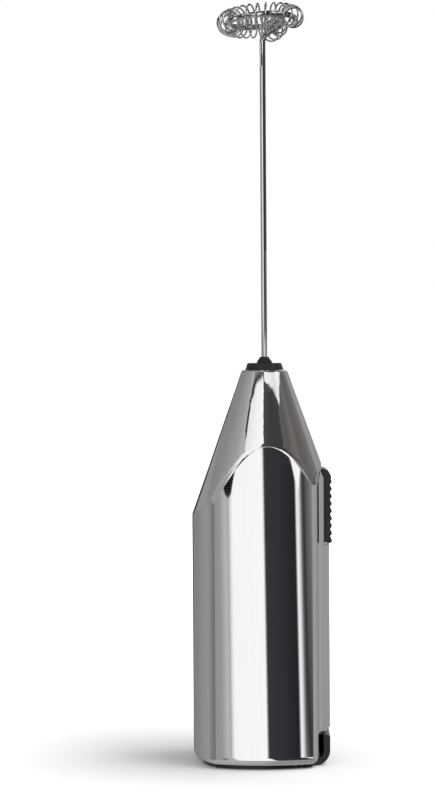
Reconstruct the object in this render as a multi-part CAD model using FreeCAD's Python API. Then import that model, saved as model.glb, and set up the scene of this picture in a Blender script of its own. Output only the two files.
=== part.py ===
import FreeCAD, Part
import math
import os

# Battery milk frother: a chromed body with a conical nose, a spinning steel wand and a coiled ring whisk.
#
# Millimetres. +Z is up along the wand, +X points to the switch side, and the origin lies on the resting
# face, under the wand's axis. Each sub-part is written to parts/NODE.step.

V = FreeCAD.Vector
UP = V(0, 0, 1)

# ---- Driving dimensions ------------------------------------------------------------------------
# Outer section of the body, seen from above: four arcs, each given by its furthest point and radius
FRONT_TIP, FRONT_R = -21.0, 15.0      # rounded front edge, away from the switch
BACK_TIP, BACK_R = 16.3, 32.0         # back edge, under the switch
WIDE_TIP, WIDE_X, WIDE_R = 14.0, -1.5, 50.0
FRONT_CORNER_R, BACK_CORNER_R = 1.8, 2.2
WALL = 1.8
BODY_BASE = 0.8                       # underside of the body's rounded lower edge
BOTTOM_R = 2.7
FLANGE_INSET, FLANGE_TOP = 2.0, 0.75  # black rim that shows under the body's edge
LIP, LIP_TOP = 3.0, 2.0               # turned-in lower lip, measured from the outside, and its height

# Conical nose
NOSE_TOP = 112.25
NOSE_EDGE_Z, NOSE_R = 110.95, 6.93    # where the straight cone meets its rounded top edge
CONE_SLOPE = 0.3600                   # growth of radius per millimetre down
CONE_LEAN = 0.0060                    # the cone's middle moves this far to +X per millimetre down
NOSE_EDGE_R = 1.0
CREASE_R = 3.0                        # rounds the crease between the cone and the body's sides
NECK_R = 4.8

# Raised rail, switch pad and door latch on the back edge
DRAFT = 0.35                          # slope of the raised parts' sides, width per depth
RAIL_HALF, RAIL_FACE = 4.4, 18.1      # half widths at the outer faces
RAIL_LOW, RAIL_HIGH, RAIL_BEVEL = 9.3, 62.5, 1.2
PAD_HALF, PAD_FACE, POCKET_FACE, POCKET_HALF = 6.2, 16.5, 16.0, 5.1
ARM_HALF, ARM_IN, ARM_OUT, ARM_TOP = 7.4, 16.1, 18.0, 8.7
ARM_BEND_R, DOOR_THICK = 4.4, 1.8
GROOVE_R, GROOVES = 0.75, (8.1, 10.0, 11.9)     # finger grooves across the door's underside

# Thumb switch
SWITCH_LOW, SWITCH_HIGH, SWITCH_HALF = 63.0, 84.2, 4.9
SWITCH_IN, SWITCH_VALLEY, SWITCH_TIP = 16.15, 18.45, 18.9
SWITCH_TOP_R = 2.9
SWITCH_TRAVEL = 2.0
RIB_COUNT, RIB_PITCH, RIB_FIRST, RIB_R = 9, 2.1, 63.65, 0.75
STEM_HALF, STEM_LOW, STEM_HIGH, STEM_IN = 2.0, 70.0, 75.5, 13.0
CARRIER_IN, CARRIER_OUT = 12.75, 13.95

# Two AA cells side by side in their bays
CELL_R, CELL_LENGTH = 7.2, 49.3
CAP_R, CAP_LENGTH = 2.75, 1.2
CELL_LOW, CELL_X = 4.4, (-9.3, 5.2)
JACKET = 0.15
BAY_R, BAY_WALL = 7.4, 0.8
CHASSIS_INSET = 3.2
FOOT_LOW, FOOT_HIGH = 2.4, 4.4
BULKHEAD_LOW, BULKHEAD_HIGH = 57.0, 59.0
SHEET = 0.4                           # thickness of the stamped contacts
SCREW_X, SCREW_Y = sum(CELL_X) / 2, 9.0

# Hinge of the battery door
HINGE_X, HINGE_Z = -15.9, 1.3
KNUCKLE_R, PIN_R = 0.9, 0.5
KNUCKLE_HALF, PIN_HALF = 4.5, 5.8
BLOCK_LOW, BLOCK_END, PLATE_START = 0.35, HINGE_X + 0.8, HINGE_X + 1.4

# Motor
MOTOR_LOW, CAN_LOW, MOTOR_HIGH, BOSS_TOP = 63.0, 67.5, 88.1, 89.7
MOTOR_R, MOTOR_HALF, CAN_WALL = 10.05, 7.55, 0.8
SHAFT_R, SHAFT_LOW, SHAFT_HIGH = 1.0, 63.8, 99.0
CORE_R, CORE_LOW, CORE_HIGH = 6.6, 73.0, 83.0
BEARING_R = 2.2
TERMINALS = ((-5.5, -4.6), (5.5, 4.6))
BLADE_X, BLADE_Y = 11.75, 2.5         # inner faces and middles of the two switch contacts

# Wand and whisk
WAND_R, WAND_LOW = 0.84, 99.2
COLLAR_LOW_R, COLLAR_TOP_R, COLLAR_TOP, SEAL_TOP = 5.5, 4.85, 114.2, 116.0
RUNNING = 0.04                        # radial clearance of a running fit
RING_X, RING_Z, RING_R, RING_TILT = -0.6, 211.6, 9.3, 4.2
WIRE_CORNER_Z, WIRE_CUT = 207.3, 2.0  # first bend of the wire, from straight up to outward
WIRE_JOIN, WIRE_JOIN_CUT, WIRE_END = 55.0, 2.4, 378.0
COIL_JOIN, COIL_JOIN_CUT, COIL_END = 66.0, 4.0, 375.0
COIL_R, COIL_BEND_R, COIL_WIRE_R, COIL_PITCH, COIL_START = 2.93, 2.2, 0.26, 2.15, 1.4
POINTS_PER_TURN = 16

os.makedirs("parts", exist_ok=True)


# ---- Helpers -----------------------------------------------------------------------------------
def save(name, shape):
    """Writes one node's solids, and prints their volume."""
    solids = shape.Solids
    if not solids or not all(s.isValid() and s.Volume > 0 for s in solids):
        raise SystemExit(f"{name} isn't a valid solid")
    whole = solids[0] if len(solids) == 1 else Part.makeCompound(solids)
    whole.exportStep(f"parts/{name}.step")
    print(f"{name:20s} solids {len(solids):2d}  volume {sum(s.Volume for s in solids):9.2f}")


def box(x0, x1, y0, y1, z0, z1):
    return Part.makeBox(x1 - x0, y1 - y0, z1 - z0, V(x0, y0, z0))


def rod(r, z0, z1, x=0.0, y=0.0):
    return Part.makeCylinder(r, z1 - z0, V(x, y, z0))


def tube(r_out, r_in, z0, z1, x=0.0, y=0.0):
    return rod(r_out, z0, z1, x, y).cut(rod(r_in, z0 - 1, z1 + 1, x, y))


def cross_rod(r, x, z, y0, y1):
    """A cylinder along Y."""
    return Part.makeCylinder(r, y1 - y0, V(x, y0, z), V(0, 1, 0))


def turned(profile, x=0.0):
    """A solid of revolution about the vertical line at x, from (radius, height) points."""
    points = [V(x + r, 0, z) for r, z in profile]
    return Part.Face(Part.makePolygon(points + points[:1])).revolve(V(x, 0, 0), UP, 360)


def slab(outline, y0, y1):
    """A plate with its outline in the XZ plane, from y0 to y1."""
    plate = Part.Face(outline).extrude(V(0, y1 - y0, 0))
    plate.translate(V(0, y0, 0))
    return plate


def fuse(*shapes):
    return shapes[0].multiFuse(list(shapes[1:])).removeSplitter()


def edges_at(shape, test):
    return [e for e in shape.Edges if test(e.CenterOfMass)]


def rim(shape, z, radius=None):
    """The closed edges at height z, or only the one of a given radius."""
    closed = [e for e in shape.Edges if e.Closed and abs(e.CenterOfMass.z - z) < 1e-6]
    return [e for e in closed if radius is None or abs(e.Curve.Radius - radius) < 1e-6]


def meeting_point(centre_a, r_a, centre_b, r_b, toward):
    """Where two circles cross: the crossing that lies further along +X or -X, as toward says."""
    gap = centre_b - centre_a
    along = (r_a ** 2 - r_b ** 2 + gap.Length ** 2) / (2 * gap.Length)
    across = math.sqrt(r_a ** 2 - along ** 2)
    unit = V(gap).normalize()
    side = V(-unit.y, unit.x, 0)
    ends = [centre_a + unit * along + side * (s * across) for s in (-1, 1)]
    return max(ends, key=lambda p: p.x * toward)


def section_prism(inset, z0, z1):
    """A prism of the body's section, set in from the outside all round."""
    wide_r, front_r, back_r = WIDE_R - inset, FRONT_R - inset, BACK_R - inset
    wide_centre = V(WIDE_X, WIDE_TIP - WIDE_R, z0)
    front = meeting_point(wide_centre, wide_r, V(FRONT_TIP + FRONT_R, 0, z0), front_r, -1)
    back = meeting_point(wide_centre, wide_r, V(BACK_TIP - BACK_R, 0, z0), back_r, 1)
    front_low, back_low = V(front.x, -front.y, z0), V(back.x, -back.y, z0)
    half = WIDE_TIP - inset
    outline = Part.Wire([
        Part.Arc(front, V(WIDE_X, half, z0), back).toShape(),
        Part.Arc(back, V(BACK_TIP - inset, 0, z0), back_low).toShape(),
        Part.Arc(back_low, V(WIDE_X, -half, z0), front_low).toShape(),
        Part.Arc(front_low, V(FRONT_TIP + inset, 0, z0), front).toShape(),
    ])
    prism = Part.Face(outline).extrude(V(0, 0, z1 - z0))
    for corner, radius in ((front, FRONT_CORNER_R), (back, BACK_CORNER_R)):
        uprights = edges_at(prism, lambda c: abs(c.x - corner.x) < 1e-4 and abs(c.z - (z0 + z1) / 2) < 1e-4)
        prism = prism.makeFillet(max(radius - inset, 0.5), uprights)
    return prism


def cone_radius(z):
    return NOSE_R + CONE_SLOPE * (NOSE_EDGE_Z - z)


def cone_solid(inset, z0, z1):
    """The slightly oblique nose cone, set in from its surface, from z0 to z1."""
    step = inset * math.hypot(1, CONE_SLOPE)
    circles = [Part.Circle(V(CONE_LEAN * (NOSE_TOP - z), 0, z), UP, cone_radius(z) - step) for z in (z0, z1)]
    return Part.makeLoft([Part.Wire(c.toShape()) for c in circles], True, True)


def raised(half, face, z0, z1):
    """A block on the back edge out to its face, with sides that slope in by the draft."""
    x_in = BACK_TIP - WALL
    root = half + DRAFT * (face - x_in)
    outline = [V(x_in, -root, z0), V(face, -half, z0), V(face, half, z0), V(x_in, root, z0), V(x_in, -root, z0)]
    return Part.Face(Part.makePolygon(outline)).extrude(V(0, 0, z1 - z0))


def swept(path, radius, start, direction):
    """A round wire along a path that starts at start, heading in direction."""
    profile = Part.Wire(Part.Circle(start, direction, radius).toShape())
    return path.makePipeShell([profile], True, True)


def corner_arc(before, here, after, cut):
    """A tangent arc that rounds a corner, starting and ending cut away from it."""
    a, b = (before - here).normalize(), (after - here).normalize()
    radius = cut / math.tan((math.pi - a.getAngle(b)) / 2)
    middle = (a + b).normalize() * (math.hypot(cut, radius) - radius)
    return Part.Arc(here + a * cut, here + middle, here + b * cut).toShape(), here + a * cut, here + b * cut


def lead_path(points):
    """Straight runs joined by tangent arcs, each as large as its two runs allow."""
    edges, last = [], points[0]
    for before, here, after in zip(points, points[1:], points[2:]):
        cut = 0.45 * min((before - here).Length, (after - here).Length)
        arc, start, end = corner_arc(before, here, after, cut)
        edges += [Part.makeLine(last, start), arc]
        last = end
    edges.append(Part.makeLine(last, points[-1]))
    return Part.Wire(edges)


def coil_of_points(points, radius):
    """One round wire along a smooth curve through points."""
    curve = Part.BSplineCurve()
    curve.interpolate(points)
    heading = V(*curve.tangent(curve.FirstParameter)[0])
    return swept(Part.Wire(curve.toShape()), radius, points[0], heading)


def cone_spring(x, z_wide, z_tip, r_wide, r_tip, turns, wire_r):
    """A conical contact spring, wide end at z_wide."""
    steps = POINTS_PER_TURN * turns
    points = []
    for i in range(steps + 1):
        share, angle = i / steps, 2 * math.pi * turns * i / steps
        r = r_wide + (r_tip - r_wide) * share
        points.append(V(x + r * math.cos(angle), r * math.sin(angle), z_wide + (z_tip - z_wide) * share))
    return coil_of_points(points, wire_r)


# ---- Housing -----------------------------------------------------------------------------------
def body_outside():
    """The rounded prism of the body cut by the nose cone, with the raised rail and switch pad."""
    prism = section_prism(0, BODY_BASE, NOSE_TOP)
    prism = prism.makeFillet(BOTTOM_R, edges_at(prism, lambda c: abs(c.z - BODY_BASE) < 1e-6))
    cone = cone_solid(0, 0, NOSE_TOP)
    cone = cone.makeFillet(NOSE_EDGE_R, rim(cone, NOSE_TOP))
    rail = raised(RAIL_HALF, RAIL_FACE, RAIL_LOW, RAIL_HIGH)
    rail_end = edges_at(rail, lambda c: abs(c.x - RAIL_FACE) < 0.01 and c.z == RAIL_LOW)
    rail = rail.makeChamfer(RAIL_BEVEL, rail_end)
    rail = rail.makeFillet(0.6, edges_at(rail, lambda c: abs(c.x - RAIL_FACE) < 0.01 and abs(c.y) > 4))
    pad = raised(PAD_HALF, PAD_FACE, RAIL_HIGH - 1, NOSE_TOP)
    core = prism.fuse(pad).common(cone)
    core = core.makeFillet(CREASE_R, edges_at(core, lambda c: 70 < c.z < 90 and c.x < 0))
    return fuse(core, rail)


def body_inside():
    """The cavity: an inset of the section and the cone, with a narrower mouth at the lower lip."""
    top = NOSE_TOP - 2.0
    cavity = section_prism(WALL, LIP_TOP, top).common(cone_solid(WALL, 0, top))
    return [cavity, section_prism(LIP, -1, LIP_TOP + 1), rod(NECK_R, top - 1, NOSE_TOP + 1)]


def body_cuts():
    """The switch's pocket and slot, and the room for the door's latch arm."""
    pocket = box(POCKET_FACE, RAIL_FACE, -POCKET_HALF, POCKET_HALF, RAIL_HIGH, NOSE_TOP)
    slot = box(BACK_TIP - 3, POCKET_FACE + 1, -STEM_HALF - 0.2, STEM_HALF + 0.2,
               STEM_LOW - 0.2, STEM_HIGH + SWITCH_TRAVEL + 0.2)
    half = ARM_HALF + 0.25
    bend_x = ARM_OUT - ARM_BEND_R
    recess = box(ARM_IN - 0.15, RAIL_FACE, -half, half, -1, RAIL_LOW)
    elbow = box(bend_x - 3, BACK_TIP + 1, -half, half, -1, ARM_BEND_R)
    elbow = elbow.cut(cross_rod(ARM_BEND_R - DOOR_THICK - 0.25, bend_x, ARM_BEND_R, -half - 1, half + 1))
    return [pocket, slot, recess, elbow]


def body_shell():
    return body_outside().cut(body_inside()[0].multiFuse(body_inside()[1:] + body_cuts()))


def nose_collar():
    """The black cap that plugs the top of the nose and holds the bush."""
    cap = Part.makeCone(COLLAR_LOW_R, COLLAR_TOP_R, COLLAR_TOP - NOSE_TOP, V(0, 0, NOSE_TOP))
    cap = cap.makeFillet(0.25, rim(cap, COLLAR_TOP))
    skirt = rod(NECK_R - 0.1, 106.0, NOSE_TOP)
    return fuse(cap, skirt).cut(fuse(rod(2.65, 105.0, 112.0), rod(1.6, 111.0, COLLAR_TOP + 1)))


def nose_bush():
    return tube(2.6, WAND_R + RUNNING, 106.2, 112.0)


def shaft_seal():
    """The soft conical lip round the wand, pushed into the collar."""
    bore = WAND_R + RUNNING
    lip = turned([(bore, COLLAR_TOP), (2.2, COLLAR_TOP), (2.2, COLLAR_TOP + 0.3), (bore + 0.25, SEAL_TOP),
                  (bore, SEAL_TOP)])
    return fuse(lip, tube(1.55, bore, 112.1, COLLAR_TOP))


def hinge_block():
    """The chassis's fixed end of the base, with a gap for the door's knuckle."""
    block = section_prism(CHASSIS_INSET, BLOCK_LOW, FOOT_LOW)
    block = block.common(box(-20, BLOCK_END, -PIN_HALF, PIN_HALF, 0, 3))
    rim_plate = section_prism(FLANGE_INSET, BLOCK_LOW, FLANGE_TOP).common(box(-20, BLOCK_END, -14, 14, 0, 3))
    gap = box(-21, BLOCK_END + 1, -KNUCKLE_HALF - 0.15, KNUCKLE_HALF + 0.15, 0, FOOT_LOW)
    return fuse(block, rim_plate).cut(gap)


def battery_chassis():
    """The inner frame: two battery bays from foot flange to bulkhead, with snap lugs and the hinge."""
    foot = section_prism(CHASSIS_INSET, FOOT_LOW, FOOT_HIGH)
    bulkhead = section_prism(CHASSIS_INSET, BULKHEAD_LOW, BULKHEAD_HIGH)
    bays = [rod(BAY_R + BAY_WALL, FOOT_LOW, BULKHEAD_LOW, x) for x in CELL_X]
    bosses = [rod(1.9, FOOT_HIGH, BULKHEAD_LOW, SCREW_X, y) for y in (-SCREW_Y, SCREW_Y)]
    webs = [box(SCREW_X - 0.6, SCREW_X + 0.6, min(y, y / 3), max(y, y / 3), FOOT_HIGH, BULKHEAD_LOW)
            for y in (-SCREW_Y, SCREW_Y)]
    lugs = [box(x - 2, x + 2, min(y, y * 0.8), max(y, y * 0.8), FOOT_LOW, FOOT_HIGH)
            for x in (-8, 6) for y in (-13, 13)]
    snaps = [lug.common(section_prism(WALL + 0.15, FOOT_LOW, FOOT_HIGH)) for lug in lugs]
    frame = fuse(foot, bulkhead, *bays, *bosses, *webs, *snaps, hinge_block())
    wells = [rod(BAY_R, 0, BULKHEAD_LOW, x) for x in CELL_X]
    pin_hole = cross_rod(PIN_R, HINGE_X, HINGE_Z, -PIN_HALF - 1, PIN_HALF + 1)
    pilots = [rod(0.95, 50.0, 60.0, SCREW_X, y) for y in (-SCREW_Y, SCREW_Y)]
    feeds = [box(-13.9, -13.1, -1.7, 1.7, 56.0, 60.0),
             box(11.4, 12.3, -BLADE_Y - 1.2, -BLADE_Y + 1.2, 56.0, 60.0)]
    return frame.cut(wells[0].multiFuse([wells[1], pin_hole] + pilots + feeds))


def hinge_pin():
    return cross_rod(PIN_R, HINGE_X, HINGE_Z, -PIN_HALF, PIN_HALF)


def motor_outline(r, half, z0, z1):
    """A round shape with two flats, the motor's section."""
    return rod(r, z0, z1).common(box(-r, r, -half, half, z0, z1))


def motor_cradle():
    """The cup that holds the motor on the bulkhead, with the wall that carries the switch contacts."""
    flange = section_prism(CHASSIS_INSET, BULKHEAD_HIGH, 61.0)
    cup = motor_outline(MOTOR_R + 0.9, MOTOR_HALF + 0.9, 61.0, 84.0)
    backing = box(9.5, BLADE_X - 0.05, -4.2, 4.2, 61.0, 84.0)
    well = motor_outline(MOTOR_R + 0.05, MOTOR_HALF + 0.05, MOTOR_LOW, 85.0)
    wiring = box(-8.5, 8.5, -7.0, 7.0, 58.0, MOTOR_LOW + 1)
    holes = [rod(1.05, 58.0, 62.0, SCREW_X, y) for y in (-SCREW_Y, SCREW_Y)]
    heads = [rod(1.65, 61.0, 62.5, SCREW_X, y) for y in (-SCREW_Y, SCREW_Y)]
    windows = [box(5.5, 9.3, 4.5, 9.9, 61.0, 65.2), box(-15.0, -8.0, -4.7, 2.4, 58.5, 62.2),
               box(11.4, 13.5, -BLADE_Y - 1.4, -BLADE_Y + 1.4, 58.0, 62.0)]
    return fuse(flange, cup, backing).cut(well.multiFuse([wiring] + holes + heads + windows))


def motor_cap():
    """The cap that keeps the motor down in its cradle."""
    cap = motor_outline(MOTOR_R + 0.9, MOTOR_HALF + 0.9, 84.0, 89.3)
    room = motor_outline(MOTOR_R + 0.05, MOTOR_HALF + 0.05, 83.0, MOTOR_HIGH)
    return cap.cut(room.fuse(rod(3.1, 80, 95)))


def cradle_screws():
    """Two self-tapping screws with cross-slotted pan heads."""
    screws = []
    for y in (-SCREW_Y, SCREW_Y):
        screw = fuse(rod(1.5, 61.0, 62.2, SCREW_X, y), rod(0.95, 51.0, 61.0, SCREW_X, y))
        slot_a = box(SCREW_X - 1, SCREW_X + 1, y - 0.2, y + 0.2, 61.7, 63)
        slot_b = box(SCREW_X - 0.2, SCREW_X + 0.2, y - 1, y + 1, 61.7, 63)
        screws.append(screw.cut(slot_a.fuse(slot_b)))
    return Part.makeCompound(screws)


# ---- Motor -------------------------------------------------------------------------------------
def motor_can():
    outer = fuse(motor_outline(MOTOR_R, MOTOR_HALF, CAN_LOW, MOTOR_HIGH), rod(3.0, MOTOR_HIGH, BOSS_TOP))
    inner = motor_outline(MOTOR_R - CAN_WALL, MOTOR_HALF - CAN_WALL, CAN_LOW - 1, MOTOR_HIGH - CAN_WALL)
    return outer.cut(inner.multiFuse([rod(BEARING_R, MOTOR_HIGH - 2, BOSS_TOP - 0.3), rod(1.3, 80, 95)]))


def motor_end_cap():
    """The nylon end of the motor, with the rear bearing's seat."""
    plug = motor_outline(MOTOR_R - CAN_WALL, MOTOR_HALF - CAN_WALL, CAN_LOW, 70.5)
    body = fuse(motor_outline(MOTOR_R - 0.15, MOTOR_HALF - 0.15, MOTOR_LOW, CAN_LOW), plug)
    hollow = motor_outline(MOTOR_R - 2.2, MOTOR_HALF - 2.2, 66.0, 71.0)
    slots = [box(x - 0.15, x + 0.15, y - 1.0, y + 1.0, 60, 66.5) for x, y in TERMINALS]
    return body.cut(hollow.multiFuse(slots + [rod(BEARING_R, 63.6, 67.0)]))


def motor_terminals():
    return Part.makeCompound([box(x - 0.15, x + 0.15, y - 1.0, y + 1.0, 60.3, 66.4) for x, y in TERMINALS])


def motor_magnets():
    """Two arc magnets against the can's round sides."""
    ring = tube(MOTOR_R - CAN_WALL - 0.03, CORE_R + 0.4, 71.5, 85.5)
    sides = ((-MOTOR_R, -4.0), (4.0, MOTOR_R))
    return Part.makeCompound([ring.common(box(x0, x1, -5.0, 5.0, 71.0, 86.0)) for x0, x1 in sides])


def motor_bearings():
    front = tube(BEARING_R, SHAFT_R + RUNNING, MOTOR_HIGH - CAN_WALL, BOSS_TOP - 0.3)
    rear = tube(BEARING_R, SHAFT_R + RUNNING, 63.6, 65.6)
    return Part.makeCompound([rear, front])


def motor_brushes():
    """Two leaf brushes beside the commutator, held at their ends by the end cap."""
    return Part.makeCompound([box(-4.4, 4.4, s * 2.55 - 0.15, s * 2.55 + 0.15, 67.2, 69.2) for s in (-1, 1)])


def motor_shaft():
    return rod(SHAFT_R, SHAFT_LOW, SHAFT_HIGH)


def three_poles(make):
    """Three copies of a shape at 120 degrees round the shaft."""
    shapes = []
    for i in range(3):
        shape = make()
        shape.rotate(V(), UP, 120 * i)
        shapes.append(shape)
    return shapes


def wedge(x0, z0, z1, half_angle):
    """A sector of space that opens outward along +X from x0."""
    reach = 9.0
    half = (reach - x0) * math.tan(math.radians(half_angle))
    points = [V(x0, 0, z0), V(reach, -half, z0), V(reach, half, z0), V(x0, 0, z0)]
    return Part.Face(Part.makePolygon(points)).extrude(V(0, 0, z1 - z0))


def armature_core():
    """The laminated three-pole rotor."""
    def pole():
        shoe = tube(CORE_R, CORE_R - 1.1, CORE_LOW, CORE_HIGH).common(wedge(0, CORE_LOW, CORE_HIGH, 52))
        return fuse(shoe, box(1.5, CORE_R - 0.6, -0.9, 0.9, CORE_LOW, CORE_HIGH))
    return fuse(rod(2.4, CORE_LOW, CORE_HIGH), *three_poles(pole)).cut(rod(SHAFT_R, 70, 90))


def armature_windings():
    """Three copper coils, each wound round one pole."""
    def coil():
        block = box(2.75, 5.1, -2.5, 2.5, CORE_LOW - 1.1, CORE_HIGH + 1.1)
        block = block.makeFillet(0.8, edges_at(block, lambda c: abs(c.y) > 2 and abs(c.z - 78) > 5.5))
        pole = box(2, 7, -0.95, 0.95, CORE_LOW - 0.05, CORE_HIGH + 0.05)
        return block.cut(pole).common(wedge(0.7, 60, 95, 58)).common(rod(CORE_R - 1.15, 60, 95))
    return Part.makeCompound(three_poles(coil))


def commutator():
    """The split copper drum under the rotor, with its three slots."""
    drum = tube(BEARING_R, SHAFT_R, 66.6, 71.0)
    cuts = three_poles(lambda: box(1.5, 3.0, -0.15, 0.15, 66.0, 70.2))
    return drum.cut(cuts[0].multiFuse(cuts[1:]))


# ---- Cells and contacts ------------------------------------------------------------------------
def cell_span(cap_up):
    """Lowest and highest point of a cell's can, without its cap."""
    low = CELL_LOW if cap_up else CELL_LOW + CAP_LENGTH
    return low, low + CELL_LENGTH


def cell(x, cap_up):
    """An AA cell's steel can with its positive cap."""
    low, high = cell_span(cap_up)
    can = rod(CELL_R - JACKET, low, high, x)
    can = can.makeFillet(0.5, rim(can, low) + rim(can, high))
    z0, z1, tip = (high - 1, high + CAP_LENGTH, high + CAP_LENGTH) if cap_up else \
        (low - CAP_LENGTH, low + 1, low - CAP_LENGTH)
    cap = rod(CAP_R, z0, z1, x)
    return fuse(can, cap.makeFillet(0.35, rim(cap, tip)))


def cell_jacket(x, cap_up):
    """The printed sleeve round a cell."""
    low, high = cell_span(cap_up)
    return tube(CELL_R, CELL_R - JACKET, low + 0.6, high - 0.6, x)


def positive_contact():
    """Stamped strip from cell 2's cap up to the switch, where the sliding bridge always touches it."""
    x, low = CELL_X[1], BULKHEAD_LOW - SHEET
    cap_z = CELL_LOW + CELL_LENGTH + CAP_LENGTH + 0.05
    y0, y1 = -BLADE_Y - 0.9, -BLADE_Y + 0.9
    plate = fuse(rod(4.2, low, BULKHEAD_LOW, x), box(x, BLADE_X + 0.3, y0, y1, low, BULKHEAD_LOW))
    dome = turned([(0, cap_z), (1.5, cap_z), (2.6, low), (0, low)], x)
    return fuse(plate, dome, box(BLADE_X, BLADE_X + 0.3, y0, y1, low, 79.0))


def switch_blade():
    """The fixed contact that the bridge reaches when the switch is pushed up."""
    blade = box(BLADE_X, BLADE_X + 0.3, BLADE_Y - 0.9, BLADE_Y + 0.9, 74.0, 83.4)
    return fuse(blade, box(BLADE_X, BLADE_X + 0.3, BLADE_Y + 0.9, BLADE_Y + 2.7, 81.6, 83.4))


def negative_contact():
    """Plate over cell 1 with a solder tab through the bulkhead."""
    plate = rod(4.8, BULKHEAD_LOW - SHEET, BULKHEAD_LOW, CELL_X[0])
    return fuse(plate, box(-13.7, -13.3, -1.4, 1.4, BULKHEAD_LOW - SHEET, 61.4))


def negative_spring():
    return cone_spring(CELL_X[0], BULKHEAD_LOW - SHEET - 0.27, cell_span(False)[1] + 0.27, 3.9, 2.2, 3, 0.25)


def black_lead():
    """Insulated lead from cell 1's tab to the motor."""
    x, y = TERMINALS[0]
    points = [V(-13.2, 0, 60.4), V(-11.4, 0.1, 60.5), V(-9.3, -1.9, 60.6), V(-7.6, -4.2, 60.9),
              V(x - 0.45, y, 61.2)]
    return swept(lead_path(points), 0.55, points[0], points[1] - points[0])


def red_lead():
    """Insulated lead from the switch blade down beside the cradle to the motor."""
    x, y = TERMINALS[1]
    points = [V(12.0, 5.8, 82.4), V(11.3, 8.0, 80.6), V(9.6, 9.65, 77.0), V(8.7, 9.9, 72.0), V(8.2, 9.8, 67.5),
              V(7.6, 9.3, 64.2), V(7.0, 7.6, 62.0), V(6.4, 5.7, 61.4), V(x + 0.8, y + 0.2, 61.2)]
    return swept(lead_path(points), 0.55, points[0], points[1] - points[0])


# ---- Switch ------------------------------------------------------------------------------------
def switch_slider():
    """The thumb piece: a rounded top, half-round ribs and a stem through the body's slot."""
    centre_x, centre_z = SWITCH_TIP - 0.1 - SWITCH_TOP_R, SWITCH_HIGH - SWITCH_TOP_R
    slant = SWITCH_TOP_R * math.sqrt(0.5)
    top_z = centre_z + math.sqrt(SWITCH_TOP_R ** 2 - (SWITCH_IN - centre_x) ** 2)
    shoulder = V(centre_x + SWITCH_TOP_R, 0, centre_z)
    outline = Part.Wire([
        Part.makeLine(V(SWITCH_IN, 0, SWITCH_LOW), V(SWITCH_IN, 0, top_z)),
        Part.Arc(V(SWITCH_IN, 0, top_z), V(centre_x + slant, 0, centre_z + slant), shoulder).toShape(),
        Part.makeLine(shoulder, V(SWITCH_VALLEY, 0, centre_z - 0.4)),
        Part.makeLine(V(SWITCH_VALLEY, 0, centre_z - 0.4), V(SWITCH_VALLEY, 0, SWITCH_LOW + 0.3)),
        Part.makeLine(V(SWITCH_VALLEY, 0, SWITCH_LOW + 0.3), V(SWITCH_IN, 0, SWITCH_LOW)),
    ])
    plate = slab(outline, -SWITCH_HALF, SWITCH_HALF)
    plate = plate.makeFillet(0.3, [e for e in plate.Edges if isinstance(e.Curve, Part.Circle)])
    ribs = []
    for i in range(RIB_COUNT):
        rib = cross_rod(RIB_R, SWITCH_TIP - RIB_R, RIB_FIRST + i * RIB_PITCH, -SWITCH_HALF, SWITCH_HALF)
        ribs.append(rib.makeFillet(0.3, [e for e in rib.Edges if e.Closed]))
    stem = box(STEM_IN, SWITCH_IN + 0.2, -STEM_HALF, STEM_HALF, STEM_LOW, STEM_HIGH)
    return fuse(plate, stem, *ribs)


def switch_carrier():
    """The plate inside the body that clips on the slider's stem."""
    plate = box(CARRIER_IN, CARRIER_OUT, -4.0, 4.0, 66.0, 80.0)
    return plate.cut(box(STEM_IN, 15, -STEM_HALF, STEM_HALF, STEM_LOW, STEM_HIGH))


def switch_bridge():
    """Copper strip with two dimples that joins the two fixed contacts when pushed up."""
    tip = BLADE_X + 0.4
    strip = box(CARRIER_IN - 0.3, CARRIER_IN, -3.6, 3.6, 69.8, 73.2)
    dimples = [Part.makeSphere(0.9, V(tip + 0.9, y, 71.5)).common(box(tip - 1, CARRIER_IN, -4, 4, 69, 74))
               for y in (-BLADE_Y, BLADE_Y)]
    return fuse(strip, *dimples)


# ---- Battery door ------------------------------------------------------------------------------
def battery_door():
    """The black base plate with its hinge knuckle, latch arm and pull grooves."""
    plate = fuse(section_prism(LIP + 0.3, 0, DOOR_THICK), section_prism(FLANGE_INSET, 0, FLANGE_TOP))
    plate = plate.common(box(PLATE_START, 20, -20, 20, -1, 5))
    plate = plate.makeFillet(0.3, edges_at(plate, lambda c: abs(c.z) < 1e-6))
    knuckle = cross_rod(KNUCKLE_R, HINGE_X, HINGE_Z, -KNUCKLE_HALF, KNUCKLE_HALF)
    tongue = box(HINGE_X, PLATE_START + 1, -KNUCKLE_HALF, KNUCKLE_HALF, HINGE_Z - KNUCKLE_R, DOOR_THICK)
    bend_x = ARM_OUT - ARM_BEND_R
    bend = cross_rod(ARM_BEND_R, bend_x, ARM_BEND_R, -ARM_HALF, ARM_HALF)
    bend = bend.cut(cross_rod(ARM_BEND_R - DOOR_THICK, bend_x, ARM_BEND_R, -9, 9))
    bend = bend.common(box(bend_x, 20, -9, 9, -1, ARM_BEND_R))
    run = box(9.0, bend_x, -ARM_HALF, ARM_HALF, 0, DOOR_THICK)
    arm = box(ARM_OUT - DOOR_THICK, ARM_OUT, -ARM_HALF, ARM_HALF, ARM_BEND_R, ARM_TOP)
    arm = arm.makeChamfer(0.5, edges_at(arm, lambda c: abs(c.z - ARM_TOP) < 1e-6 and abs(c.x - ARM_OUT) < 1e-6))
    door = fuse(plate, knuckle, tongue, run, bend, arm)
    grooves = [cross_rod(GROOVE_R, x, -0.1, -WIDE_TIP, WIDE_TIP) for x in GROOVES]
    bore = cross_rod(PIN_R + RUNNING, HINGE_X, HINGE_Z, -10, 10)
    return door.cut(bore.multiFuse(grooves))


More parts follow.
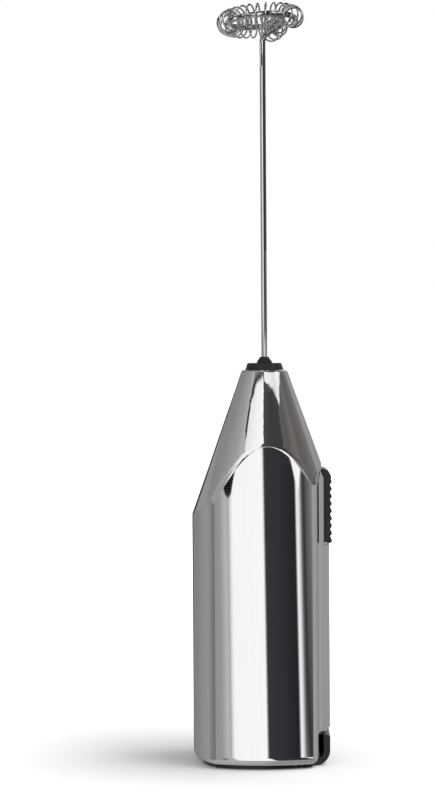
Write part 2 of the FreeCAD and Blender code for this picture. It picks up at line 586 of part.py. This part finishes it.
def door_contact():
    """The plate that joins the two cells, with a raised dimple under cell 1's cap."""
    low, high = DOOR_THICK, DOOR_THICK + SHEET
    plate = fuse(box(CELL_X[0], CELL_X[1], -3.4, 3.4, low, high), rod(4.6, low, high, CELL_X[0]),
                 rod(4.6, low, high, CELL_X[1]))
    return fuse(plate, turned([(0, high), (2.6, high), (1.5, CELL_LOW - 0.1), (0, CELL_LOW - 0.1)], CELL_X[0]))


def door_spring():
    return cone_spring(CELL_X[1], DOOR_THICK + SHEET + 0.27, CELL_LOW - 0.4, 3.9, 2.2, 3, 0.25)


# ---- Wand and whisk ----------------------------------------------------------------------------
def shaft_coupling():
    """The sleeve that joins the motor's shaft to the wand."""
    sleeve = turned([(0, 91.5), (2.3, 91.5), (2.6, 92.2), (2.6, 102.0), (1.9, 104.2), (0, 104.2)])
    return sleeve.cut(rod(SHAFT_R, 90, SHAFT_HIGH + 0.1).fuse(rod(WAND_R, SHAFT_HIGH, 110)))


TILT = math.radians(RING_TILT)
RING_OUT = V(math.cos(TILT), 0, math.sin(TILT))
RING_SIDE = V(0, 1, 0)
RING_UP = V(-math.sin(TILT), 0, math.cos(TILT))
WIRE_CORNER = V(0, 0, WIRE_CORNER_Z)


def on_ring(angle):
    """A point of the whisk's tilted ring, at an angle in degrees."""
    a = math.radians(angle)
    return V(RING_X, 0, RING_Z) + RING_OUT * (RING_R * math.cos(a)) + RING_SIDE * (RING_R * math.sin(a))


def spoke_and_ring(join_angle, cut, end_angle):
    """Path from the wand's bend out along a spoke and round the ring: corner, straight run, bend, arc."""
    a = math.radians(join_angle)
    heading = RING_SIDE * math.cos(a) - RING_OUT * math.sin(a)
    join = on_ring(join_angle)
    corner = join - heading * cut
    bend, bend_start, _ = corner_arc(WIRE_CORNER, corner, join, cut)
    ring = Part.Arc(join, on_ring((join_angle + end_angle) / 2), on_ring(end_angle)).toShape()
    return corner, bend_start, [bend, ring]


def whisk_wire():
    """One wire: the wand, a bend out to a spoke, and the ring."""
    corner, bend_start, rest = spoke_and_ring(WIRE_JOIN, WIRE_JOIN_CUT, WIRE_END)
    foot = V(0, 0, WAND_LOW)
    first, start, end = corner_arc(foot, WIRE_CORNER, corner, WIRE_CUT)
    path = Part.Wire([Part.makeLine(foot, start), first, Part.makeLine(end, bend_start)] + rest)
    return swept(path, WAND_R, foot, UP)


def along(edges, distance):
    """Point and direction at a distance along a chain of edges."""
    for edge in edges[:-1]:
        if distance < edge.Length:
            break
        distance -= edge.Length
    else:
        edge = edges[-1]
    at = edge.getParameterByLength(min(distance, edge.Length))
    return edge.valueAt(at), edge.tangentAt(at)


def smooth(x):
    x = min(max(x, 0.0), 1.0)
    return x * x * (3 - 2 * x)


def whisk_coil():
    """The fine wire wound round the spoke and the ring; its end turns close in to grip the ring's wire."""
    _, bend_start, rest = spoke_and_ring(COIL_JOIN, COIL_JOIN_CUT, COIL_END)
    edges = [Part.makeLine(WIRE_CORNER, bend_start)] + rest
    bend_middle = edges[0].Length + edges[1].Length / 2
    length = sum(e.Length for e in edges) - COIL_START
    steps = round(length / COIL_PITCH * POINTS_PER_TURN)
    grip = WAND_R + COIL_WIRE_R + 0.06
    points = []
    for i in range(steps + 1):
        reach = length * i / steps
        middle, heading = along(edges, COIL_START + reach)
        outward = heading.cross(RING_UP).normalize()
        upward = outward.cross(heading)
        pinch = smooth(1 - abs(COIL_START + reach - bend_middle) / 4.5)
        full = COIL_R + (COIL_BEND_R - COIL_R) * pinch
        closing = smooth(min(reach / 2.0, (length - reach) / 3.0))
        r = grip + (full - grip) * closing
        a = 2 * math.pi * i / POINTS_PER_TURN
        points.append(middle + outward * (r * math.cos(a)) + upward * (r * math.sin(a)))
    return coil_of_points(points, COIL_WIRE_R)


NODES = {
    "body_shell": body_shell,
    "nose_collar": nose_collar,
    "nose_bush": nose_bush,
    "shaft_seal": shaft_seal,
    "battery_chassis": battery_chassis,
    "hinge_pin": hinge_pin,
    "motor_cradle": motor_cradle,
    "motor_cap": motor_cap,
    "cradle_screws": cradle_screws,
    "motor_can": motor_can,
    "motor_end_cap": motor_end_cap,
    "motor_terminals": motor_terminals,
    "motor_magnets": motor_magnets,
    "motor_bearings": motor_bearings,
    "motor_brushes": motor_brushes,
    "motor_shaft": motor_shaft,
    "armature_core": armature_core,
    "armature_windings": armature_windings,
    "commutator": commutator,
    "battery_1": lambda: cell(CELL_X[0], False),
    "battery_1_jacket": lambda: cell_jacket(CELL_X[0], False),
    "battery_2": lambda: cell(CELL_X[1], True),
    "battery_2_jacket": lambda: cell_jacket(CELL_X[1], True),
    "positive_contact": positive_contact,
    "switch_blade": switch_blade,
    "negative_contact": negative_contact,
    "negative_spring": negative_spring,
    "black_lead": black_lead,
    "red_lead": red_lead,
    "switch_slider": switch_slider,
    "switch_carrier": switch_carrier,
    "switch_bridge": switch_bridge,
    "battery_door": battery_door,
    "door_contact": door_contact,
    "door_spring": door_spring,
    "shaft_coupling": shaft_coupling,
    "whisk_wire": whisk_wire,
    "whisk_coil": whisk_coil,
}

for name, make in NODES.items():
    save(name, make())
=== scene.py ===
import math

import bpy
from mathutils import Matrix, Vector

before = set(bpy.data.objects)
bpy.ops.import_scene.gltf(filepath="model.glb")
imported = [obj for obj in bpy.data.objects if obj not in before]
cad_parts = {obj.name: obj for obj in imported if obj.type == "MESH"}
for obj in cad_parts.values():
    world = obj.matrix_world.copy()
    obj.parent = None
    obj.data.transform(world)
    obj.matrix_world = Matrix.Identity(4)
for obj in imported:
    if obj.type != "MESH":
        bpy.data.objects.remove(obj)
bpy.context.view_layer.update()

# Milk frother on a white sweep. Metres, in the CAD model's frame: +Z up along the wand, +X to the switch.
MM = 0.001

scene = bpy.context.scene
scene.view_settings.view_transform = "Standard"

# ---- Lights of the studio ----------------------------------------------------------------------
# Azimuths are in degrees, 0 straight in front and growing towards the switch. Levels run from 0 to 255.

# What the chrome mirrors far away, as (azimuth, level): below the horizon, above it, and on the floor
LOW = ((-180, 250), (-171, 250), (-170, 46), (-155, 52), (-152, 131), (-125, 131), (-95, 146), (-84, 148),
       (-76, 120), (-33, 110), (-31, 142), (-26, 154), (-24.5, 176), (-21.6, 190), (-20.4, 134),
       (-19.9, 134), (-19.6, 250), (1.6, 252), (1.95, 54), (12, 50), (23.1, 32), (23.9, 252), (25.0, 235),
       (26.2, 120), (28, 40), (29.4, 78), (33, 118), (36, 150), (60, 160), (124, 140), (160, 150), (163, 250))
HIGH = ((-180, 240), (-171, 240), (-169, 60), (-154, 60), (-150, 148), (-100, 140), (-60, 150), (-52.5, 232),
        (-30, 246), (-5, 253), (-4.2, 70), (20, 60), (47, 62), (50, 84), (90, 80), (112, 88), (122, 140),
        (160, 150), (164, 240))
FLOOR = ((-180, 150), (-60, 166), (-20, 172), (0, 166), (10, 154), (20, 140), (60, 138), (180, 150))

# Where these three and the ceiling meet, as (elevation in degrees, width of the soft edge)
HORIZON, UNDER, OVERHEAD = (0.5, 2.0), (-40.0, 6.0), (64.0, 14.0)
CEILING = 0.9

# The low bands lean: degrees of azimuth per degree of elevation, its growth per degree of azimuth, and the
# elevation where they stand at their own azimuth
LEAN, LEAN_GROWTH, LEAN_FROM = 0.2, 0.0075, -4.3

# Soft light that everything matt receives, from straight down (0) to straight up (1)
SOFT_SKY = ((0.0, 0.32), (0.45, 0.38), (0.6, 0.46), (1.0, 0.61))

# Curved cards on a circle round the object, in millimetres. Each is a row of upright slices:
# (azimuth, lower edge, upper edge)
CARD_R, CARD_TOP = 200.0, 700.0
CARD_STEP = 3                # widest slice, in degrees
SHELF = 125.0                # lower edge of the side cards
ARCH = ((-51, 226), (-50.5, 231), (-46.6, 238), (-38.3, 249), (-30, 255), (-22.4, 259), (-12, 263),
        (-2.5, 264.5), (6.8, 262), (20.5, 258), (28, 254.5), (35.4, 250), (44, 243), (48.4, 238),
        (50.8, 232))
RIGHT_TOP = ((65, 232), (83, 221), (92, 215))       # the arch goes on over the right wall

# A dark tent round the whisk, as rings of (radius, height) in millimetres, with bright openings in its cloth
TENT = ((33, 204), (35, 214), (29, 234), (14, 247), (1, 251))
TENT_SIDES = 48
OPENING = 14.0 * MM
CLOTH = ((0.57, 0.010), (0.61, 1.5))
FLAG_R, FLAG_LOW, FLAG_HIGH = 31.0, 148, 216        # a dark flag beside the wand

# Painted glow: light that the floor emits by itself, rising away from the object so that its shadow fades, as
# (share of GLOW_REACH from the object's axis, strength)
GLOW_REACH = 0.4
GLOW = ((0.07, 0.0), (0.125, 0.12), (0.2, 0.24), (1.0, 0.9))
FLOOR_HALF = 6.0

LAMP_AT, LAMP_AIM, LAMP_SIZE, LAMP_WATTS = (0.38, -0.06, 0.56), (0, 0, 0.05), (0.5, 0.5), 3.8

CAMERA_AT = (0, -0.480, 0.118)
CAMERA_LENS, SENSOR = 75.4, 36
CAMERA_DOWN, CAMERA_ROLL, CAMERA_LEFT = 1.71, 0.4, 1.60     # degrees


def grey(level):
    """Linear light of a grey that displays as level, from 0 to 255."""
    share = level / 255
    return share / 12.92 if share <= 0.04045 else ((share + 0.055) / 1.055) ** 2.4


def cool(level):
    """A grey that turns a little blue where it is dark."""
    return grey(level), grey(level), grey(level + max(0, 90 - level) * 0.1)


def warm(level):
    """A grey with a little brown in it."""
    return grey(level + 3), grey(level), grey(level - 2)


# ---- Node helpers ------------------------------------------------------------------------------
class Nodes:
    """Adds linked shader nodes to one tree."""

    def __init__(self, tree, keep=False):
        self.tree = tree
        if not keep:
            tree.nodes.clear()

    def feed(self, socket, value):
        """Links value to the socket if it is a socket too, or sets it there."""
        if isinstance(value, bpy.types.NodeSocket):
            self.tree.links.new(value, socket)
        else:
            socket.default_value = value

    def add(self, kind, inputs=None, **settings):
        """A node with its settings, and its inputs given as values or as sockets to link from."""
        node = self.tree.nodes.new("ShaderNode" + kind)
        for key, value in settings.items():
            setattr(node, key, value)
        for key, value in (inputs or {}).items():
            self.feed(node.inputs[key], value)
        return node

    def math(self, operation, a, b=0.0, c=0.0):
        """The result of a Math node."""
        return self.add("Math", {0: a, 1: b, 2: c}, operation=operation).outputs[0]

    def place(self, kind="Object"):
        """Texture coordinates: the place on the object in metres, unless another kind is named."""
        return self.add("TexCoord").outputs[kind]

    def split(self, vector):
        """The three coordinates of a vector."""
        return self.add("SeparateXYZ", {0: vector}).outputs

    def turn(self, x, y):
        """Azimuth of a direction in radians, and its position on a ramp that goes once round."""
        azimuth = self.math("ARCTAN2", x, self.math("MULTIPLY", y, -1.0))
        return azimuth, self.math("MULTIPLY_ADD", azimuth, 1 / (2 * math.pi), 0.5)

    def ramp(self, factor, stops, interpolation="LINEAR"):
        """A ramp over stops of (position, grey or colour)."""
        node = self.add("ValToRGB", {"Fac": factor})
        node.color_ramp.interpolation = interpolation
        elements = node.color_ramp.elements
        for i, (position, value) in enumerate(stops):
            element = elements[i] if i < 2 else elements.new(position)
            element.position = position
            element.color = (value, value, value, 1) if isinstance(value, float) else (*value, 1)
        return node.outputs["Color"]

    def mix(self, factor, a, b):
        """Colour a where factor is 0, b where it is 1."""
        node = self.add("Mix", data_type="RGBA")
        for key, value in ((0, factor), (6, a), (7, b)):
            self.feed(node.inputs[key], (*value, 1) if isinstance(value, tuple) else value)
        return node.outputs[2]

    def step(self, value, edge, soft):
        """0 below the edge, 1 above it, over a soft width."""
        limits = {"Value": value, "From Min": edge - soft / 2, "From Max": edge + soft / 2}
        return self.add("MapRange", limits, interpolation_type="SMOOTHSTEP").outputs["Result"]

    def noise(self, place, size, detail):
        """Noise with features of that size in metres."""
        return self.add("TexNoise", {"Vector": place, "Scale": 1 / size, "Detail": detail}).outputs["Fac"]

    def bump(self, height, depth, **inputs):
        """A normal for a relief of that depth in metres."""
        return self.add("Bump", {"Height": height, "Strength": 1.0, "Distance": depth, **inputs}).outputs[0]

    def surface(self, kind, inputs):
        """Joins a shader of this kind to the output of the material or the world."""
        output = "OutputWorld" if kind == "Background" else "OutputMaterial"
        self.add(output, {"Surface": self.add(kind, inputs).outputs[0]})


def new_material(name):
    """A material with no nodes yet, and its Nodes."""
    material = bpy.data.materials.new(name)
    material.use_nodes = True
    return material, Nodes(material.node_tree)


def new_object(name, points, faces, material):
    """A mesh of the studio in the scene."""
    mesh = bpy.data.meshes.new(name)
    mesh.from_pydata(points, [], faces)
    mesh.materials.append(material)
    thing = bpy.data.objects.new(name, mesh)
    scene.collection.objects.link(thing)
    return thing


# ---- World -------------------------------------------------------------------------------------
def round_stops(bands, colour):
    """Stops for a ramp that goes once round, from (azimuth, level)."""
    return [(azimuth / 360 + 0.5, colour(level)) for azimuth, level in bands]


def make_world():
    """The far field for reflections, a soft sky for matt surfaces, and white behind the object."""
    world = bpy.data.worlds.new("studio")
    world.use_nodes = True
    n = Nodes(world.node_tree)
    x, y, z = n.split(n.place("Generated"))
    azimuth, around = n.turn(x, y)
    elevation = n.math("DEGREES", n.math("ARCSINE", z))
    lean = n.math("MULTIPLY_ADD", azimuth, math.degrees(LEAN_GROWTH), LEAN)
    leaning = n.math("MULTIPLY", n.math("ADD", elevation, -LEAN_FROM), lean)
    low = n.ramp(n.math("MULTIPLY_ADD", leaning, 1 / 360, around), round_stops(LOW, cool))
    high = n.ramp(around, round_stops(HIGH, cool))
    floor = n.ramp(around, round_stops(FLOOR, lambda level: (grey(level),) * 3))
    walls = n.mix(n.step(elevation, *HORIZON), low, high)
    seen = n.mix(n.step(elevation, *UNDER), floor, walls)
    seen = n.mix(n.step(elevation, *OVERHEAD), seen, (CEILING,) * 3)
    path = n.add("LightPath").outputs
    soft = n.ramp(n.math("MULTIPLY_ADD", z, 0.5, 0.5), SOFT_SKY)
    light = n.mix(path["Is Glossy Ray"], soft, seen)
    n.surface("Background", {"Color": n.mix(path["Is Camera Ray"], light, (1.0, 1.0, 1.0))})
    scene.world = world


# ---- Studio cards ------------------------------------------------------------------------------
def only_in_reflections(thing):
    """Hides a card from the camera and from every light path but reflections."""
    for ray in ("camera", "diffuse", "shadow", "transmission", "volume_scatter"):
        setattr(thing, "visible_" + ray, False)


def subdivide(slices):
    """Adds slices between the given ones, so that none is wider than CARD_STEP."""
    for (a0, low0, top0), (a1, low1, top1) in zip(slices, slices[1:]):
        count = max(1, math.ceil((a1 - a0) / CARD_STEP))
        for i in range(count):
            share = i / count
            yield a0 + (a1 - a0) * share, low0 + (low1 - low0) * share, top0 + (top1 - top0) * share
    yield slices[-1]


def make_card(name, slices, bands, radius=CARD_R, colour=lambda level: (grey(level),) * 3):
    """A curved card through slices, lit along its azimuth by bands of (azimuth, level)."""
    material, n = new_material(name + "_light")
    around = n.turn(*n.split(n.place())[:2])[1]
    n.surface("Emission", {"Color": n.ramp(around, round_stops(bands, colour))})
    points = []
    for azimuth, low, top in subdivide(slices):
        x, y = radius * math.sin(math.radians(azimuth)), -radius * math.cos(math.radians(azimuth))
        points += [(x * MM, y * MM, low * MM), (x * MM, y * MM, top * MM)]
    faces = [(i, i + 2, i + 3, i + 1) for i in range(0, len(points) - 2, 2)]
    only_in_reflections(new_object(name, points, faces, material))


def make_walls():
    """The cards that stand round the object, and the two above its front."""
    make_card("left_wall", [(-180, SHELF, CARD_TOP), (-51, SHELF, CARD_TOP)],
              [(-180, 240), (-172, 240), (-170, 60), (-156, 60), (-153, 132), (-105, 137), (-88, 148),
               (-72, 157), (-58, 176)])
    make_card("top_left", [(a, h, CARD_TOP) for a, h in ARCH if a <= 0], [(-60, 117), (-35, 102), (0, 104)])
    make_card("top_right", [(a, h, CARD_TOP) for a, h in ARCH + RIGHT_TOP if a >= -2.5],
              [(-2, 252), (30, 238), (45, 226), (66, 250), (82, 235), (90, 120)])
    make_card("right_wall", [(46, SHELF, 230), (50.8, SHELF, 234), (53, SHELF, 236)] +
              [(a, SHELF, h) for a, h in RIGHT_TOP] + [(92.01, SHELF, CARD_TOP), (119, SHELF, CARD_TOP)],
              [(46, 92), (60, 88), (75, 108), (90, 92), (104, 104), (117, 116)], CARD_R + 1, warm)
    make_card("back_wall", [(119, SHELF, CARD_TOP), (180, SHELF, CARD_TOP)],
              [(119, 138), (128, 152), (160, 146), (164, 240)], CARD_R + 1)


def make_accents():
    """Narrow cards: the dark line of the arch, a shade on the left, the dark drop and the bright blade."""
    make_card("arch_edge", [(-57.5, 212, 222), (-56, 212, 231), (-54, 212, 237), (-51.2, 212, 241),
                            (-50.4, 231, 243), (-46.6, 238, 246), (-38.3, 249, 254.5), (-22.4, 259, 262.5),
                            (-2.5, 264.5, 266.5)], [(-60, 62), (0, 62)], CARD_R - 1)
    make_card("shade", [(-60, 58, SHELF), (-33, 58, SHELF)], [(-60, 150), (-30, 158)])
    make_card("drop", [(-25.5, 64, 96), (-24.3, 61.5, 108), (-22, 60.5, 112), (-20.3, 62, 113),
                       (-18.5, 68, 114), (-16.8, 72.5, 115), (-14, 80, 116), (-11.5, 90, 117)],
              [(-60, 24), (-20, 24)], CARD_R - 1)
    make_card("blade", [(-6, 108, 120), (10, 100, 120), (14.5, 86, 121), (17.9, 79, 122), (21, 74.5, 122),
                        (23.5, 68, 123), (26, 62, 123), (27.5, 72, 124), (34, 80, 124), (52, 92, 124)],
              [(-5, 205), (8, 190), (14, 252), (31, 252), (36, 150), (52, 130)], CARD_R - 1)


def make_tent():
    """A small dark tent with bright openings round the whisk, and a dark flag beside the wand, for contrast."""
    make_card("flag", [(4, FLAG_LOW, FLAG_HIGH), (165, FLAG_LOW, FLAG_HIGH)],
              [(0, 58), (60, 62), (150, 90)], FLAG_R)
    material, n = new_material("tent_light")
    n.surface("Emission", {"Color": n.ramp(n.noise(n.place(), OPENING, 1.0), CLOTH)})
    corners = [2 * math.pi * i / TENT_SIDES for i in range(TENT_SIDES)]
    points = [(r * MM * math.cos(a), r * MM * math.sin(a), h * MM) for r, h in TENT for a in corners]
    faces = []
    for ring in range(0, len(points) - TENT_SIDES, TENT_SIDES):
        for i in range(TENT_SIDES):
            j = (i + 1) % TENT_SIDES
            faces.append((ring + i, ring + j, ring + TENT_SIDES + j, ring + TENT_SIDES + i))
    only_in_reflections(new_object("tent", points, faces, material))


# ---- Materials ---------------------------------------------------------------------------------
def make_finish(name, colour, roughness, metallic=0.0, grain=0.3, relief=2.0, mottle=0.06,
                stretch=(1, 1, 1), bands=None, **sockets):
    """A finish with noise of grain millimetres, relief micrometres deep, that also mottles its colour.

    stretch lengthens the grain along an axis. bands is (axis, pitch in mm, colour between, depth in
    micrometres) for wound or stacked surfaces. The broad noise is 14 grains wide.
    """
    material, n = new_material(name + "_finish")
    place = n.place()
    scaled = n.add("Mapping", {"Vector": place, "Scale": tuple(1 / s for s in stretch)}).outputs[0]
    fine = n.noise(scaled, grain * MM, 3.0)
    broad = n.noise(scaled, 14 * grain * MM, 2.0)
    blend = n.math("ADD", n.math("MULTIPLY", fine, 0.4), n.math("MULTIPLY", broad, 0.6))
    dark, light = (tuple(min(c * (1 + s), 1.0) for c in colour) for s in (-mottle, mottle))
    tint = n.mix(n.step(blend, 0.5, 0.36), dark, light)
    height, depth = fine, relief
    if bands:
        axis, pitch, between, depth = bands
        rate = 2 * math.pi / 20 / (pitch * MM)      # a wave texture has 20 / (2 pi) waves per unit of scale
        wave = n.add("TexWave", {"Vector": place, "Scale": rate, "Distortion": 0.0},
                     bands_direction=axis).outputs["Fac"]
        tint = n.mix(n.step(wave, 0.25, 0.3), between, tint)
        height = n.math("ADD", wave, n.math("MULTIPLY", fine, relief / depth))
    spread = n.math("MULTIPLY_ADD", blend, roughness * 0.7, roughness * 0.65)
    n.surface("BsdfPrincipled", {"Base Color": tint, "Roughness": spread, "Metallic": metallic,
                                 "Normal": n.bump(height, depth * 0.001 * MM), **sockets})
    return material


def make_chrome():
    """Bright plating: near-mirror, with faint waviness, upright streaks and a fine speckle in its polish."""
    wave_size, wave_depth = 4.0 * MM, 0.0006 * MM
    speckle_size, speckle_depth = 0.22 * MM, 0.00012 * MM
    streak_width, streak_shrink = 0.7 * MM, 0.03
    material, n = new_material("chrome_body_finish")
    place = n.place()
    speckle = n.noise(place, speckle_size, 2.0)
    upright = n.add("Mapping", {"Vector": place, "Scale": (1, 1, streak_shrink)}).outputs[0]
    wiped = n.noise(upright, streak_width, 2.0)
    slow = n.bump(n.noise(place, wave_size, 1.0), wave_depth)
    tint = n.ramp(wiped, [(0.3, (0.935, 0.935, 0.94)), (0.7, (0.965, 0.965, 0.97))])
    rough = n.math("MULTIPLY_ADD", speckle, 0.03, n.math("MULTIPLY_ADD", wiped, 0.02, 0.012))
    n.surface("BsdfPrincipled", {"Base Color": tint, "Roughness": rough, "Metallic": 1.0,
                                 "Normal": n.bump(speckle, speckle_depth, Normal=slow)})
    return material


def make_jacket():
    """The cells' printed film: dark, with a plain copper ring at each end."""
    ramp_top = 60 * MM      # a little above the cells
    copper, black = (0.45, 0.17, 0.07), (0.012, 0.012, 0.014)
    material, n = new_material("cell_jacket_finish")
    place = n.place()
    height = n.math("MULTIPLY", n.split(place)[2], 1 / ramp_top)
    film = n.ramp(height, [(0.0, copper), (0.2, black), (0.8, copper)], "CONSTANT")
    grain = n.noise(place, 0.4 * MM, 3.0)
    tint = n.mix(n.math("MULTIPLY", grain, 0.15), film, (0.3, 0.3, 0.3))
    n.surface("BsdfPrincipled", {"Base Color": tint, "Roughness": n.math("MULTIPLY_ADD", grain, 0.1, 0.22),
                                 "Normal": n.bump(grain, 0.002 * MM), "Coat Weight": 0.5,
                                 "Coat Roughness": 0.1})
    return material


FINISHES = {
    "black_gloss": dict(colour=(0.012, 0.012, 0.013), roughness=0.24, grain=0.35, relief=1.2, mottle=0.15),
    "black_satin": dict(colour=(0.011, 0.011, 0.012), roughness=0.34, grain=0.12, relief=2.5, mottle=0.2),
    "black_seal": dict(colour=(0.012, 0.012, 0.012), roughness=0.6, grain=0.15, relief=4.0, mottle=0.2),
    "frame_plastic": dict(colour=(0.05, 0.05, 0.053), roughness=0.45, grain=0.2, relief=5.0, mottle=0.1),
    "nylon_white": dict(colour=(0.78, 0.76, 0.70), roughness=0.42, grain=0.3, relief=3.0,
                        **{"Subsurface Weight": 0.1}),
    "stainless_wire": dict(colour=(0.80, 0.80, 0.79), roughness=0.06, metallic=1.0, grain=0.1, relief=0.02,
                           mottle=0.12, stretch=(1, 1, 12)),
    "steel_pin": dict(colour=(0.62, 0.62, 0.63), roughness=0.25, metallic=1.0, grain=0.1, relief=0.6,
                      stretch=(1, 8, 1)),
    "motor_steel": dict(colour=(0.58, 0.58, 0.57), roughness=0.3, metallic=1.0, grain=0.15, relief=1.0,
                        stretch=(1, 1, 10)),
    "contact_nickel": dict(colour=(0.70, 0.67, 0.61), roughness=0.22, metallic=1.0, grain=0.12, relief=0.8,
                           mottle=0.1),
    "bronze": dict(colour=(0.50, 0.32, 0.16), roughness=0.38, metallic=1.0, grain=0.1, relief=3.0,
                   mottle=0.2),
    "copper": dict(colour=(0.78, 0.38, 0.22), roughness=0.25, metallic=1.0, grain=0.12, relief=1.0,
                   mottle=0.12),
    "copper_enamel": dict(colour=(0.55, 0.17, 0.06), roughness=0.25, metallic=0.6, grain=0.3, relief=2.0,
                          mottle=0.15, bands=("Z", 0.28, (0.12, 0.03, 0.01), 40.0)),
    "laminations": dict(colour=(0.36, 0.36, 0.38), roughness=0.42, metallic=1.0, grain=0.2, relief=2.0,
                        bands=("Z", 0.5, (0.07, 0.06, 0.06), 20.0)),
    "magnet": dict(colour=(0.035, 0.034, 0.033), roughness=0.7, grain=0.25, relief=12.0, mottle=0.25),
    "cell_steel": dict(colour=(0.66, 0.65, 0.62), roughness=0.28, metallic=1.0, grain=0.2, relief=1.0),
    "lead_red": dict(colour=(0.45, 0.015, 0.012), roughness=0.4, grain=0.3, relief=4.0, mottle=0.12),
    "lead_black": dict(colour=(0.014, 0.014, 0.014), roughness=0.42, grain=0.3, relief=4.0, mottle=0.2),
}


def dress_nodes():
    """Gives every CAD node its finish, slot by slot."""
    materials = {name: make_finish(name, **settings) for name, settings in FINISHES.items()}
    materials["chrome_body"] = make_chrome()
    materials["cell_jacket"] = make_jacket()
    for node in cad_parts.values():
        for slot in node.material_slots:
            slot.material = materials[slot.material.name]


# ---- Floor, light and camera -------------------------------------------------------------------
def make_floor():
    """A pale sweep with a painted glow: its emission rises away from the object, fading the shadow and
    brightening the floor into the white surroundings.
    """
    material = make_finish("paper", (0.90, 0.90, 0.90), 0.9, grain=0.5, relief=2.0, mottle=0.003,
                           **{"Specular IOR Level": 0.0, "Emission Color": (1, 1, 1, 1)})
    n = Nodes(material.node_tree, keep=True)
    # Painted glow: the floor's emission grows with distance from the object's axis
    far = n.add("VectorMath", {0: n.place()}, operation="LENGTH").outputs["Value"]
    painted_glow = n.ramp(n.math("MULTIPLY", far, 1 / GLOW_REACH), GLOW)
    n.feed(material.node_tree.nodes["Principled BSDF"].inputs["Emission Strength"], painted_glow)
    corners = [(x * FLOOR_HALF, y * FLOOR_HALF, 0) for x, y in ((-1, -1), (1, -1), (1, 1), (-1, 1))]
    floor = new_object("floor", corners, [(0, 1, 2, 3)], material)
    floor.visible_glossy = False


def make_lamp():
    """A soft box on the switch's side, which casts the shadow to the other side."""
    lamp = bpy.data.lights.new("softbox", "AREA")
    lamp.shape = "RECTANGLE"
    lamp.size, lamp.size_y = LAMP_SIZE
    lamp.energy = LAMP_WATTS
    light = bpy.data.objects.new("softbox", lamp)
    light.location = LAMP_AT
    light.rotation_euler = (Vector(LAMP_AIM) - light.location).to_track_quat("-Z", "Y").to_euler()
    light.visible_glossy = False
    light.visible_camera = False
    scene.collection.objects.link(light)


def make_camera():
    """A long lens level with the nose, turned slightly down and aside."""
    data = bpy.data.cameras.new("camera")
    data.lens = CAMERA_LENS
    data.sensor_width = SENSOR
    camera = bpy.data.objects.new("camera", data)
    camera.location = CAMERA_AT
    camera.rotation_euler = [math.radians(a) for a in (90 - CAMERA_DOWN, CAMERA_ROLL, CAMERA_LEFT)]
    scene.collection.objects.link(camera)
    scene.camera = camera


make_world()
make_walls()
make_accents()
make_tent()
dress_nodes()
make_floor()
make_lamp()
make_camera()
